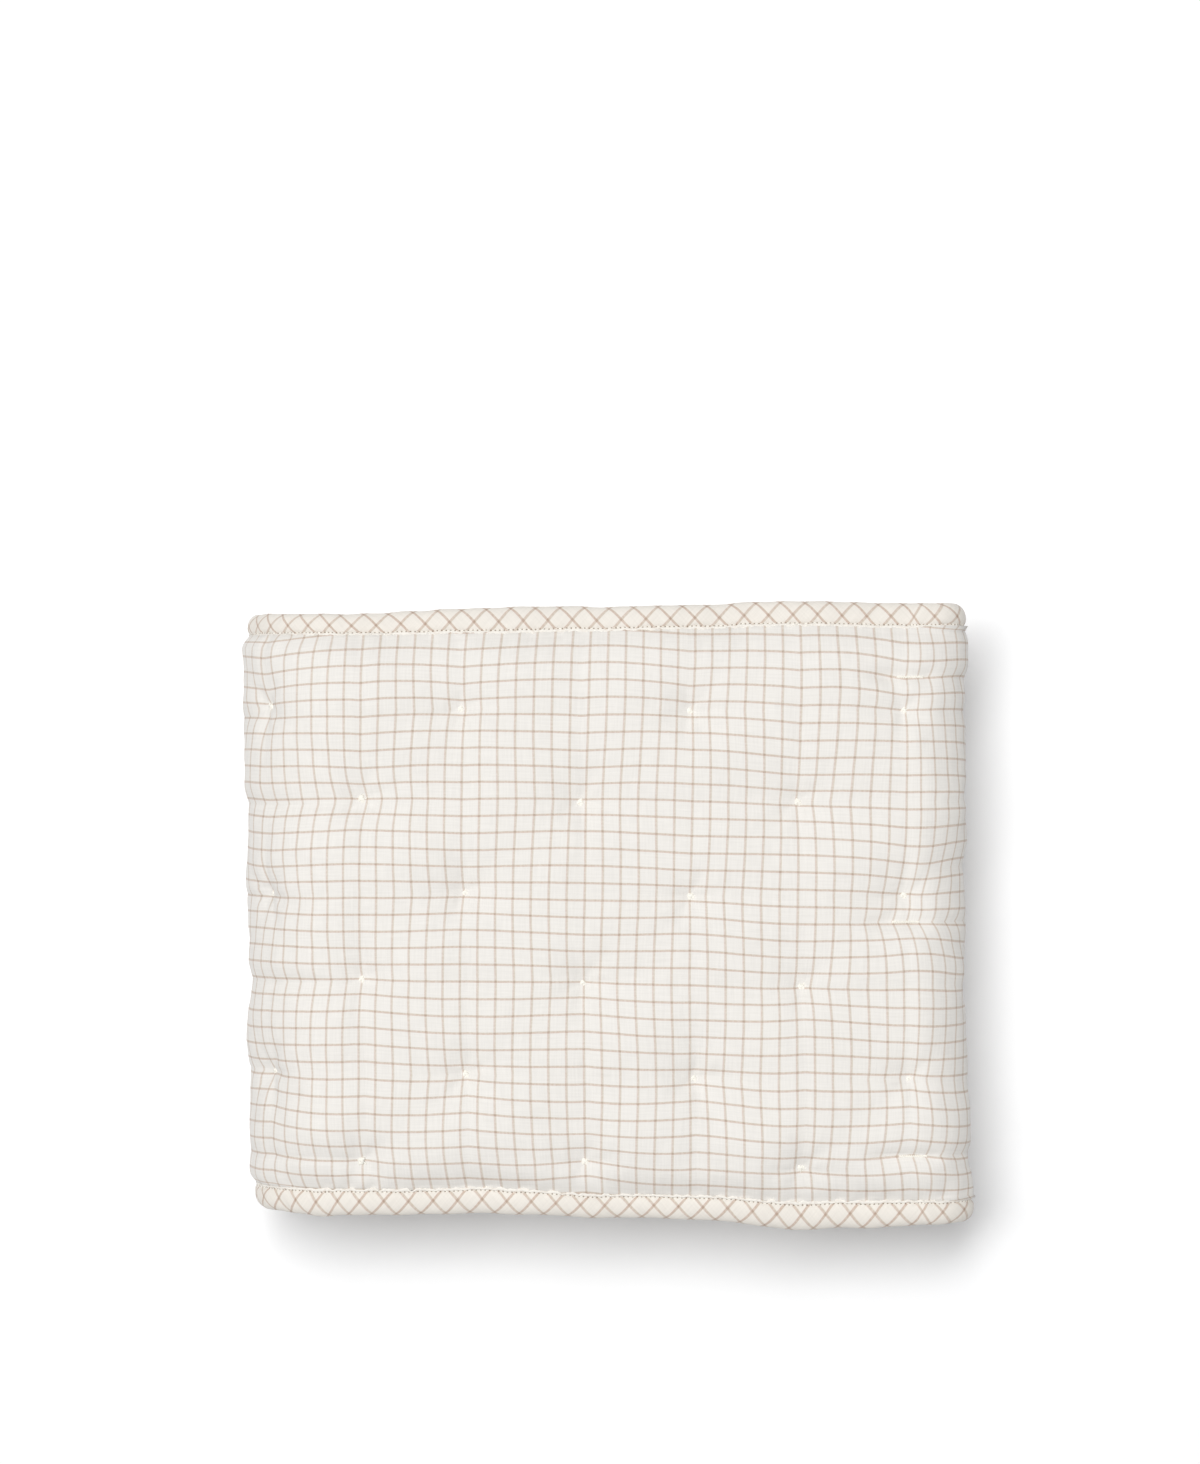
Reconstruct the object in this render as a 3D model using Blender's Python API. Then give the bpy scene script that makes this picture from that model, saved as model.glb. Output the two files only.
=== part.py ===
"""A crib bumper folded in four and lying flat: one tufted quilt with a bias binding on each long edge.

The strip runs along X and is folded in the XZ plane. Both ends are turned in to the middle, and the whole is
then closed like a book, so that the ends lie inside the wide wrap at -X and two tight folds lie at +X.
The outer face of the strip is the one that shows on the top, the wrap and the underside.
"""

import math
from collections import namedtuple

import bmesh
import bpy

# Strip, in metres and over its middle, so a half is half a thickness. Across runs from -Y to +Y.
HALF_WIDTH = 0.150
FULL_HALF = 0.0124
TUFT_HALF = 0.0045
SEAM_HALF = 0.0026
FLANGE_HALF = 0.0010
BINDING_WIDTH = 0.0105
SEWING_GAP = 0.0003
SEAM = HALF_WIDTH - BINDING_WIDTH - 2 * SEWING_GAP
TINY = 1e-6

# Folds of the strip's middle, and how far the outer face bulges over them
FOLD_RADIUS = 0.013
WRAP_RADIUS = 0.039
BOTTOM_Z = 0.010
WRAP_X = -0.1270
UPPER_FOLD_X = 0.1500
LOWER_FOLD_X = 0.1465
UPPER_END_X = -0.1430
LOWER_END_X = -0.1455
SKEW = 0.0137
FOLD_BULGE = 0.0030
WRAP_BULGE = 0.0010
INSIDE_ROOM = 0.0022
PRESSED_FLAT = 0.0006

# Loft towards the seams, the strip's ends and the tufts
SEAM_RISE = 0.026
SHOULDER = 0.0075
END_RISE = 0.026
TUFT_REACH = 0.0150
TUFT_STEEPNESS = 1.3
COLUMN_CREASE = 0.0010
COLUMN_REACH = 0.0080

# Bound edges: they bulge outwards in the folds and droop a little
FOLD_EDGE_SHIFT = 0.0105
WRAP_EDGE_SHIFT = 0.0055
EDGE_DROOP = 0.0030
EDGE_RIPPLE = 0.0010
RIPPLE_LENGTH = 0.083
RIPPLE_TURN = 9.0
EDGE_REACH = 0.034

# Tufts, and the stations between two columns of them
HALF_PITCH = 0.0537
STEPS_PER_HALF_PITCH = 6
SHOWN_STEP = 2
TUCKED_STEP = 3

Layer = namedtuple("Layer", "name end_x turn_radius")
LAYERS = (
    Layer("lower tuck", LOWER_FOLD_X, FOLD_RADIUS),
    Layer("bottom", WRAP_X, WRAP_RADIUS),
    Layer("top", UPPER_FOLD_X, FOLD_RADIUS),
    Layer("upper tuck", UPPER_END_X, 0.0),
)

TuftRow = namedtuple("TuftRow", "across column")
TUFT_ROWS = (
    TuftRow(-0.1223, "B"),
    TuftRow(-0.0795, "A"),
    TuftRow(-0.0334, "B"),
    TuftRow(0.0093, "A"),
    TuftRow(0.0565, "B"),
    TuftRow(0.0987, "A"),
)

TuftColumn = namedtuple("TuftColumn", "x column")
TOP_COLUMNS = (
    TuftColumn(-0.1203, "B"),
    TuftColumn(-0.0707, "A"),
    TuftColumn(-0.0128, "B"),
    TuftColumn(0.0412, "A"),
    TuftColumn(0.0948, "B"),
    TuftColumn(0.1458, "A"),
)

# Where the two bound edges of each layer lie
Edge = namedtuple("Edge", "layer x far near")
EDGES = (
    Edge("lower tuck", -0.1455, 0.1508, -0.1490),
    Edge("lower tuck", -0.0600, 0.1490, -0.1500),
    Edge("lower tuck", 0.0800, 0.1512, -0.1496),
    Edge("bottom", 0.1465, 0.1532, -0.1512),
    Edge("bottom", 0.0200, 0.1502, -0.1500),
    Edge("bottom", -0.1270, 0.1486, -0.1484),
    Edge("top", -0.1270, 0.1484, -0.1472),
    Edge("top", -0.0620, 0.1496, -0.1474),
    Edge("top", 0.0050, 0.1512, -0.1502),
    Edge("top", 0.0460, 0.1522, -0.1508),
    Edge("top", 0.0890, 0.1540, -0.1546),
    Edge("top", 0.1500, 0.1530, -0.1532),
    Edge("upper tuck", 0.1200, 0.1524, -0.1526),
    Edge("upper tuck", -0.0400, 0.1498, -0.1494),
    Edge("upper tuck", -0.1430, 0.1506, -0.1532),
)

# Section of a binding: how far in from the edge, and the height over its middle
ProfilePoint = namedtuple("ProfilePoint", "inset height")
CHANNEL_HALF = FLANGE_HALF + SEWING_GAP
CHANNEL_END = 0.0030
BINDING_PROFILE = (
    ProfilePoint(BINDING_WIDTH, 0.0030),
    ProfilePoint(0.0046, 0.0034),
    ProfilePoint(0.0008, 0.0019),
    ProfilePoint(0.0008, -0.0019),
    ProfilePoint(0.0046, -0.0034),
    ProfilePoint(BINDING_WIDTH, -0.0030),
    ProfilePoint(BINDING_WIDTH, -CHANNEL_HALF),
    ProfilePoint(CHANNEL_END, -CHANNEL_HALF),
    ProfilePoint(CHANNEL_END, CHANNEL_HALF),
    ProfilePoint(BINDING_WIDTH, CHANNEL_HALF),
)

Finish = namedtuple("Finish", "colour roughness")
CHECK_COTTON = Finish((0.87, 0.84, 0.79, 1.0), 0.9)
BIAS_COTTON = Finish((0.86, 0.81, 0.74, 1.0), 0.9)

Segment = namedtuple("Segment", "layer start length x z heading radius")
Place = namedtuple("Place", "x z out_x out_z turned radius")


def clear_scene():
    for obj in list(bpy.data.objects):
        bpy.data.objects.remove(obj, do_unlink=True)


def strip_segments():
    """The straight runs and half turns of the strip, from its lower tucked end to its upper one."""
    segments = []
    start = 0.0
    x = LOWER_END_X
    z = BOTTOM_Z + 2 * FOLD_RADIUS
    heading = 0.0
    for layer in LAYERS:
        run = abs(layer.end_x - x)
        segments.append(Segment(layer.name, start, run, x, z, heading, 0.0))
        start += run
        x = layer.end_x
        if layer.turn_radius:
            turn = math.pi * layer.turn_radius
            segments.append(Segment("turn", start, turn, x, z, heading, layer.turn_radius))
            start += turn
            z -= 2 * layer.turn_radius * math.cos(heading)
            heading -= math.pi
    return segments


SEGMENTS = strip_segments()
STRIP_LENGTH = SEGMENTS[-1].start + SEGMENTS[-1].length


def segment_at(along):
    return [part for part in SEGMENTS if part.start <= along + TINY][-1]


def place_at(along):
    """Where the middle of the strip is after this length, and which way its outer face looks."""
    segment = segment_at(along)
    done = along - segment.start
    heading = segment.heading
    if not segment.radius:
        x = segment.x + math.cos(heading) * done
        z = segment.z + math.sin(heading) * done
        return Place(x, z, -math.sin(heading), math.cos(heading), 0.0, 0.0)
    turned = done / segment.radius
    centre_x = segment.x + math.sin(heading) * segment.radius
    centre_z = segment.z - math.cos(heading) * segment.radius
    out_x = -math.sin(heading - turned)
    out_z = math.cos(heading - turned)
    x = centre_x + out_x * segment.radius
    z = centre_z + out_z * segment.radius
    return Place(x, z, out_x, out_z, turned, segment.radius)


def stretch_of(segment):
    """How much longer the outer face is than the middle of the strip in this segment."""
    return 1 + FULL_HALF / segment.radius if segment.radius else 1.0


def cloth_at(along):
    """The length of the outer face up to this length of the strip's middle."""
    cloth = 0.0
    for segment in SEGMENTS:
        done = min(max(along - segment.start, 0.0), segment.length)
        cloth += done * stretch_of(segment)
    return cloth


def along_at(cloth):
    """The opposite of cloth_at."""
    for segment in SEGMENTS:
        length = segment.length * stretch_of(segment)
        if cloth <= length:
            return segment.start + max(cloth, 0.0) / stretch_of(segment)
        cloth -= length
    return STRIP_LENGTH


def layer_along(name, x):
    """The strip's length at this x of a named layer."""
    segment = next(part for part in SEGMENTS if part.layer == name)
    return segment.start + abs(x - segment.x)


CLOTH_LENGTH = cloth_at(STRIP_LENGTH)


def tuft_columns():
    """(cloth length, A or B) for each column of tufts, at an even pitch beyond those of the top layer."""
    shown = [(cloth_at(layer_along("top", column.x)), column.column) for column in TOP_COLUMNS]
    columns = list(shown)
    cloth, kind = shown[0]
    while cloth - HALF_PITCH > END_RISE / 2:
        cloth -= HALF_PITCH
        kind = "A" if kind == "B" else "B"
        columns.insert(0, (cloth, kind))
    cloth, kind = shown[-1]
    while cloth + HALF_PITCH < CLOTH_LENGTH - END_RISE / 2:
        cloth += HALF_PITCH
        kind = "A" if kind == "B" else "B"
        columns.append((cloth, kind))
    return columns


COLUMNS = tuft_columns()
TUFTS = [(cloth, row.across) for cloth, kind in COLUMNS for row in TUFT_ROWS if row.column == kind]


def is_kept(step, along):
    """Whether a station stands at this step: at each one in a turn, and at fewer in a straight run."""
    segment = segment_at(along)
    if segment.radius:
        return True
    return step % (TUCKED_STEP if "tuck" in segment.layer else SHOWN_STEP) == 0


def stations():
    """Lengths along the strip's middle where the section is worked out, each tuft column among them."""
    marks = [0.0] + [cloth for cloth, kind in COLUMNS] + [CLOTH_LENGTH]
    found = [0.0]
    for low, high in zip(marks, marks[1:]):
        steps = max(1, round(STEPS_PER_HALF_PITCH * (high - low) / HALF_PITCH))
        for step in range(1, steps + 1):
            along = along_at(low + (high - low) * step / steps)
            if step == steps or is_kept(step, along):
                found.append(along)
    return found


def across_stations():
    """Places across the strip: the flange in the binding, the shoulder at the seam, and the tuft rows."""
    tip = HALF_WIDTH - CHANNEL_END - SEWING_GAP
    rows = [row.across for row in TUFT_ROWS]
    found = [-tip, -SEAM - SEWING_GAP, -SEAM, -SEAM + SHOULDER]
    for low, high in zip(rows, rows[1:]):
        found += [low, (low + high) / 2]
    found += [rows[-1], SEAM - SEAM_RISE, SEAM - SHOULDER]
    return found + [SEAM, SEAM + SEWING_GAP, tip]


def rounded(fraction):
    """Rises from 0 to 1 like a quarter of a circle."""
    left = 1 - min(max(fraction, 0.0), 1.0)
    return math.sqrt(1 - left * left)


def soft_step(fraction):
    fraction = min(max(fraction, 0.0), 1.0)
    return fraction * fraction * (3 - 2 * fraction)


def tuft_pull(cloth, across):
    """1 at a tuft, falling to 0 between the tufts."""
    nearest = min(math.hypot(cloth - tuft[0], across - tuft[1]) for tuft in TUFTS)
    return math.exp(-((nearest / TUFT_REACH) ** TUFT_STEEPNESS))


def column_pull(cloth):
    """1 on the line through a column of tufts."""
    nearest = min(abs(cloth - column[0]) for column in COLUMNS)
    return math.exp(-((nearest / COLUMN_REACH) ** 2))


def seam_fill(across):
    """How far the filling has risen from the seams, from 0 at a seam to 1."""
    return rounded((SEAM - abs(across)) / SEAM_RISE)


def half_loft(cloth, across):
    """Half the quilt's thickness: thin in the binding, drawn in at the seams, ends and tufts."""
    if abs(across) > SEAM + TINY:
        return FLANGE_HALF
    fill = seam_fill(across) * rounded(min(cloth, CLOTH_LENGTH - cloth) / END_RISE)
    half = SEAM_HALF + (FULL_HALF - SEAM_HALF) * fill
    half -= COLUMN_CREASE * column_pull(cloth) * fill
    return half - (half - TUFT_HALF) * tuft_pull(cloth, across) * fill


def edge_at(along):
    """(far, near) places of the two bound edges, from the table of layers."""
    rows = [(layer_along(row.layer, row.x), row.far, row.near) for row in EDGES]
    low = max((row for row in rows if row[0] <= along), default=rows[0])
    high = min((row for row in rows if row[0] >= along), default=rows[-1])
    share = soft_step((along - low[0]) / (high[0] - low[0])) if high[0] > low[0] else 0.0
    return (low[1] + (high[1] - low[1]) * share, low[2] + (high[2] - low[2]) * share)


def folded(along, across, over):
    """A point of the flat strip, over its middle by this much, in its place in the folded pack.

    The pack's weight presses flat whatever comes this near the ground.
    """
    place = place_at(along)
    far, near = edge_at(along)
    y = (far + near) / 2 + across * (far - near) / (2 * HALF_WIDTH)
    edge = soft_step(1 - (SEAM - abs(across)) / EDGE_REACH)
    widest = WRAP_EDGE_SHIFT if place.radius == WRAP_RADIUS else FOLD_EDGE_SHIFT
    over += widest * math.sin(place.turned) ** 2 * (1 - seam_fill(across))
    waves = cloth_at(along) / RIPPLE_LENGTH * 2 * math.pi + across * RIPPLE_TURN
    ripple = EDGE_RIPPLE * math.sin(waves)
    x = place.x + place.out_x * over - SKEW * y
    z = place.z + place.out_z * over - (EDGE_DROOP + ripple) * edge
    return (x, y, z if z > PRESSED_FLAT else 0.0)


def quilt_point(along, across, is_outer):
    cloth = cloth_at(along)
    place = place_at(along)
    half = half_loft(cloth, across)
    if not is_outer:
        room = place.radius - INSIDE_ROOM if place.radius else half
        return folded(along, across, -min(half, room))
    bulge = WRAP_BULGE if place.radius == WRAP_RADIUS else FOLD_BULGE
    share = (half - FLANGE_HALF) / FULL_HALF
    return folded(along, across, half + bulge * math.sin(place.turned) * share)


def finished(name, bm, finish):
    """Makes the object, with smooth sides and its own material."""
    bmesh.ops.recalc_face_normals(bm, faces=bm.faces)
    mesh = bpy.data.meshes.new(name)
    bm.to_mesh(mesh)
    bm.free()
    mesh.shade_smooth()
    mesh.set_sharp_from_angle(angle=math.radians(50))
    material = bpy.data.materials.new(name)
    material.use_nodes = True
    shader = material.node_tree.nodes["Principled BSDF"]
    shader.inputs["Base Color"].default_value = finish.colour
    shader.inputs["Roughness"].default_value = finish.roughness
    shader.inputs["Metallic"].default_value = 0.0
    mesh.materials.append(material)
    obj = bpy.data.objects.new(name, mesh)
    bpy.context.collection.objects.link(obj)
    return obj


def make_grid(bm, columns, rows):
    """A grid whose points stand at whole numbers, one for each station along and across."""
    bmesh.ops.create_grid(bm, x_segments=columns - 1, y_segments=rows - 1, size=1.0)
    for vert in bm.verts:
        vert.co.x = round((vert.co.x + 1) / 2 * (columns - 1))
        vert.co.y = round((vert.co.y + 1) / 2 * (rows - 1))


def make_quilt():
    """A flat pad of two faces, puffed between its tufts and then folded."""
    along = stations()
    across = across_stations()
    bm = bmesh.new()
    make_grid(bm, len(along), len(across))
    made = bmesh.ops.extrude_face_region(bm, geom=bm.faces[:])
    for item in made["geom"]:
        if isinstance(item, bmesh.types.BMVert):
            item.co.z = 1.0
    for vert in bm.verts:
        is_outer = vert.co.z > 0.5
        vert.co = quilt_point(along[int(vert.co.x)], across[int(vert.co.y)], is_outer)
    return finished("quilt", bm, CHECK_COTTON)


def make_binding(name, side):
    """A strip with a channel that holds the quilt's flange, swept along one bound edge."""
    along = stations()
    bm = bmesh.new()
    make_grid(bm, len(along), len(BINDING_PROFILE) + 1)
    for vert in bm.verts:
        point = BINDING_PROFILE[int(vert.co.y) % len(BINDING_PROFILE)]
        vert.co = folded(along[int(vert.co.x)], side * (HALF_WIDTH - point.inset), point.height)
    bmesh.ops.remove_doubles(bm, verts=bm.verts, dist=TINY)
    bmesh.ops.holes_fill(bm, edges=bm.edges, sides=0)
    return finished(name, bm, BIAS_COTTON)


def stand_on_origin(pieces):
    """Puts the middle of the pack's underside at the origin."""
    pack = bpy.data.objects.new("bumper", None)
    bpy.context.collection.objects.link(pack)
    points = [vert.co for piece in pieces for vert in piece.data.vertices]
    for axis in range(2):
        values = [point[axis] for point in points]
        pack.location[axis] = -(min(values) + max(values)) / 2
    for piece in pieces:
        piece.parent = pack


clear_scene()
stand_on_origin([make_quilt(), make_binding("binding_far", 1), make_binding("binding_near", -1)])
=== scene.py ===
import math

import bmesh
import bpy
import numpy as np
from mathutils import Matrix, Vector


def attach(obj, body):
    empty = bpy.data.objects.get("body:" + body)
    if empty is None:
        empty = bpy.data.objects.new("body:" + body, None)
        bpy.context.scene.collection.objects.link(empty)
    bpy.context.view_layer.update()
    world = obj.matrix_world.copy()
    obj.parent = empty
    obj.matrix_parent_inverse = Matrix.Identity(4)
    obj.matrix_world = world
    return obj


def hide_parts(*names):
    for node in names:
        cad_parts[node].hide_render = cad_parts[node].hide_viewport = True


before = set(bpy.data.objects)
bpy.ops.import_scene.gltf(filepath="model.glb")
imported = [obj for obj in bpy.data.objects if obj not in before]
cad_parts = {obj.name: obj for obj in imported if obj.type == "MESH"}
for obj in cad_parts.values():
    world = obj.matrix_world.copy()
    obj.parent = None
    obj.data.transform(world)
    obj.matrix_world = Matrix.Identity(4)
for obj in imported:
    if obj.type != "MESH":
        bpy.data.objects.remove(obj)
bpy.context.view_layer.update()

body = "root"
tiny = 1e-6
print("frame loaded")

# The folded pack, in metres. Along runs over the middle of the strip, across from -Y to +Y.
pack = {
    "halfWidth": 0.150,
    "outerHalf": 0.0124,        # half the quilt's thickness between its tufts
    "bindingWidth": 0.0105,
    "sewingGap": 0.0003,
    "bottomZ": 0.010,
    "foldRadius": 0.013,
    "wrapRadius": 0.039,
    "lowerEndX": -0.1455,
    "skew": 0.0137,
    "foldEdgeShift": 0.0105,    # how far a bound edge stands out in the two folds
    "wrapEdgeShift": 0.0055,    # and in the wide wrap
    "foldReach": 0.0022,        # the filling pushes the turns outwards
    "wrapReach": 0.0030,
    "edgeDroop": 0.0030,
    "edgeReach": 0.034,
    "edgeRipple": 0.0010,
    "rippleLength": 0.083,
    "rippleTurn": 9.0,
    "pressedFlat": 0.0006,      # what comes this near the ground lies on it
    "lipRise": 0.026,           # how softly the bindings' lips take up the turns
    "middle": (0.0008, 0.0003, 0.0),
}
layers = (                      # name, x of its end, radius of the turn that follows
    ("lowerTuck", 0.1465, pack["foldRadius"]),
    ("bottom", -0.1270, pack["wrapRadius"]),
    ("top", 0.1500, pack["foldRadius"]),
    ("upperTuck", -0.1430, 0.0),
)
boundEdges = {                  # x, y of the far edge, y of the near edge
    "lowerTuck": ((-0.1455, 0.1484, -0.1482), (-0.0600, 0.1490, -0.1500), (0.0800, 0.1512, -0.1496)),
    "bottom": ((0.1465, 0.1532, -0.1512), (0.0200, 0.1502, -0.1500), (-0.1270, 0.1486, -0.1484)),
    "top": ((-0.1270, 0.1484, -0.1472), (-0.0620, 0.1496, -0.1474), (0.0050, 0.1512, -0.1502),
            (0.0460, 0.1522, -0.1508), (0.0890, 0.1540, -0.1546), (0.1500, 0.1530, -0.1532)),
    "upperTuck": ((0.1200, 0.1524, -0.1526), (-0.0400, 0.1498, -0.1494), (-0.1250, 0.1482, -0.1490),
                  (-0.1430, 0.1486, -0.1530)),
}
seam = pack["halfWidth"] - pack["bindingWidth"] - 2 * pack["sewingGap"]


def layStrip():
    runs = []
    start = 0.0
    x = pack["lowerEndX"]
    z = pack["bottomZ"] + 2 * pack["foldRadius"]
    heading = 0.0
    for name, endX, turn in layers:
        for part, length, radius in ((name, abs(endX - x), 0.0), (name + "Turn", math.pi * turn, turn)):
            if length:
                runs.append({"name": part, "start": start, "length": length, "x": x, "z": z,
                             "heading": heading, "radius": radius})
            start += length
            x = endX
        z -= 2 * turn * math.cos(heading)
        heading -= math.pi
    return runs


def stretchOf(run):             # the outer face of a turn is longer than its middle
    return 1 + pack["outerHalf"] / run["radius"] if run["radius"] else 1.0


strip = layStrip()
runNamed = {run["name"]: run for run in strip}
alongMarks = np.cumsum([0.0] + [run["length"] for run in strip])
clothMarks = np.cumsum([0.0] + [run["length"] * stretchOf(run) for run in strip])
clothLength = clothMarks[-1]


def alongAt(cloth):
    return np.interp(cloth, clothMarks, alongMarks)


def layerAlong(name, x):
    return runNamed[name]["start"] + np.abs(x - runNamed[name]["x"])


def topCloth(x):                # cloth length at this x of the strip's top layer
    return np.interp(layerAlong("top", x), alongMarks, clothMarks)


topMiddle = float(topCloth(0.0))


def readRows(place, rows):      # rows give places and the values there
    return np.interp(place, *zip(*rows))


def byColumn(cloth, rows):      # the same, with the places counted from the top layer's middle
    return readRows(cloth - topMiddle, rows)


def softStep(share):
    share = np.clip(share, 0.0, 1.0)
    return share * share * (3 - 2 * share)


def rounded(share):             # rises from 0 to 1 like a quarter of a circle
    left = 1 - np.clip(share, 0.0, 1.0)
    return np.sqrt(1 - left * left)


waveMake = {
    "shortest": 0.7,            # against a wave's stated length
    "spread": 0.8,
    "level": 1.5,
}


def gentleWaves(u, v, wave, shift=0):
    # even noise from a few waves that cross; a wave has its height, length, seed and how many
    height, length, seed, count = wave
    draw = np.random.default_rng(seed + shift)
    total = np.zeros_like(u)
    for turn, phase, stretch in draw.random((count, 3)):
        pace = 2 * math.pi / (length * (waveMake["shortest"] + waveMake["spread"] * stretch))
        angle = math.pi * turn
        total += np.sin((u * math.cos(angle) + v * math.sin(angle)) * pace + 2 * math.pi * phase)
    return height * total / math.sqrt(count * waveMake["level"])


def placeAt(along):
    place = {key: np.zeros_like(along) for key in ("x", "z", "outX", "outZ", "turned", "radius")}
    for run in strip:
        here = (along >= run["start"] - tiny) & (along <= run["start"] + run["length"] + tiny)
        done = along[here] - run["start"]
        heading = run["heading"]
        radius = run["radius"]
        turned = done / radius if radius else 0 * done
        straight = 0.0 if radius else done
        outX = -np.sin(heading - turned)
        outZ = np.cos(heading - turned)
        x = run["x"] + math.cos(heading) * straight + radius * (math.sin(heading) + outX)
        z = run["z"] + math.sin(heading) * straight + radius * (outZ - math.cos(heading))
        for key, value in zip(place, (x, z, outX, outZ, turned, radius)):
            place[key][here] = value
    return place


edgeMarks = [
    (layerAlong(name, x), far, near)
    for name, rows in boundEdges.items()
    for x, far, near in rows
]
edgeMarks = np.array(edgeMarks).T


def edgesAt(along):             # y of the far and of the near edge, easing from row to row
    marks = edgeMarks[0]
    low = np.clip(np.searchsorted(marks, along) - 1, 0, len(marks) - 2)
    share = softStep((along - marks[low]) / (marks[low + 1] - marks[low]))
    return [edge[low] + (edge[low + 1] - edge[low]) * share for edge in edgeMarks[1:]]


def seamFill(across, rise):
    return rounded((seam - np.abs(across)) / rise)


def foldUp(cloth, across, over, rise=pack["lipRise"]):
    # puts points of the flat strip in their places in the pack
    along = alongAt(cloth)
    place = placeAt(along)
    far, near = edgesAt(along)
    y = (far + near) / 2 + across * (far - near) / (2 * pack["halfWidth"])
    edge = softStep(1 - (seam - np.abs(across)) / pack["edgeReach"])
    isWrap = place["radius"] == pack["wrapRadius"]
    widest = np.where(isWrap, pack["wrapEdgeShift"], pack["foldEdgeShift"])
    reach = np.where(isWrap, pack["wrapReach"], pack["foldReach"])
    over = over + widest * np.sin(place["turned"]) ** 2 * (1 - seamFill(across, rise))
    over = over + reach * np.sin(place["turned"])
    waves = cloth / pack["rippleLength"] * 2 * math.pi + across * pack["rippleTurn"]
    droop = (pack["edgeDroop"] + pack["edgeRipple"] * np.sin(waves)) * edge
    x = place["x"] + place["outX"] * over - pack["skew"] * y
    z = place["z"] + place["outZ"] * over - droop
    z = np.where(z > pack["pressedFlat"], z, 0.0)
    return np.stack((x, y, z), axis=-1) + np.array(pack["middle"])


# Tufts: where the shown ones stand on the top layer, row by row; the others follow at an even pitch
tuftMake = {
    "rows": (
        {"kind": "A", "xs": (-0.0717, 0.0408, 0.1458), "ys": (0.1006, 0.0996, 0.1001),
         "wrap": (0.0026, 0.0040)},
        {"kind": "B", "xs": (-0.1203, -0.0130, 0.0938), "ys": (0.0564, 0.0549, 0.0549)},
        {"kind": "A", "xs": (-0.0697, 0.0412, 0.1458), "ys": (0.0106, 0.0088, 0.0093), "wrap": (0.0014, 0.0)},
        {"kind": "B", "xs": (-0.1203, -0.0118, 0.0955), "ys": (-0.0321, -0.0339, -0.0358)},
        {"kind": "A", "xs": (-0.0692, 0.0427, 0.1483), "ys": (-0.0786, -0.0806, -0.0806)},
        {"kind": "B", "xs": (-0.1208, -0.0108, 0.0955), "ys": (-0.1213, -0.1218, -0.1247)},
    ),
    "halfPitch": 0.0537,
    "endRoom": 0.013,
    "columns": (-0.1203, -0.0702, -0.0119, 0.0416, 0.0950, 0.1466),
    "columnsBefore": 14,
    "columnsAfter": 6,
}


def stripX(x, y):               # x on the strip before the pack is skewed and put in its place
    return x - pack["middle"][0] + pack["skew"] * y


def acrossAt(x, y):             # from a place on the top layer to across, on the flat strip
    far, near = edgesAt(np.atleast_1d(layerAlong("top", stripX(x, y))))
    y = y - pack["middle"][1]
    return float((y - (far[0] + near[0]) / 2) * 2 * pack["halfWidth"] / (far[0] - near[0]))


def layTufts():
    tufts = []
    step = 2 * tuftMake["halfPitch"]
    for row in tuftMake["rows"]:
        shown = [float(topCloth(stripX(x, y))) for x, y in zip(row["xs"], row["ys"])]
        sides = [acrossAt(x, y) for x, y in zip(row["xs"], row["ys"])]
        before = np.arange(shown[0] - step, tuftMake["endRoom"], -step)[::-1]
        after = np.arange(shown[-1] + step, clothLength - tuftMake["endRoom"], step)
        middle = sum(sides) / len(sides)
        aside, up = row.get("wrap", (0.0, 0.0))         # the tuft on the wrap shows too
        tufts += [(cloth, middle) for cloth in before[:-1]]
        tufts.append((before[-1] + aside, middle + up))
        tufts += list(zip(shown, sides))
        tufts += [(cloth, middle) for cloth in after]
    return tufts


tufts = layTufts()
tuftCloth, tuftAcross = np.array(tufts).T
rowAcross = [(acrossAt(row["xs"][1], row["ys"][1]), row["kind"]) for row in tuftMake["rows"]]
columnCloth = np.array([float(topCloth(x)) for x in tuftMake["columns"]])
columnCloth = np.concatenate((
    columnCloth[0] - tuftMake["halfPitch"] * np.arange(tuftMake["columnsBefore"], 0, -1),
    columnCloth,
    columnCloth[-1] + tuftMake["halfPitch"] * (1 + np.arange(tuftMake["columnsAfter"])),
))

# Bar tacks: each lies in a groove that runs on over the fold
tackMake = {
    "tacks": (                  # x, y, length, and how hard it holds the face back
        (0.1424, 0.1164, 0.0146, -0.2),
        (0.1399, -0.0039, 0.0140, 1.3),
        (0.1434, -0.1188, 0.0148, 0.5),
    ),
    "grooveShare": 0.70,
    "grooveHalf": 0.0040,
    "grooveSteepness": 1.15,
    "grooveLead": 0.024,
    "grooveRun": 0.062,
    "tailRun": 0.025,
    "grooveFade": 0.60,         # how much shallower it is past the tack's end
    "fadeRun": 0.010,
    "pullLead": 0.030,
    "stitchPitch": 0.00055,
    "stitchLength": 0.00165,
    "lengths": (0.85, 1.15),
    "lean": 0.32,               # the stitches lean to one side and the other by turns
    "leanSpread": 0.08,
    "threadRadius": 0.00030,
    "flatness": 1.2,
    "wander": 0.0001,
    "lift": 0.0004,
}
tackPlaces = [
    (float(topCloth(stripX(x, y))), acrossAt(x, y), length, pull)
    for x, y, length, pull in tackMake["tacks"]
]
print("tufts laid out:", len(tufts))

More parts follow.
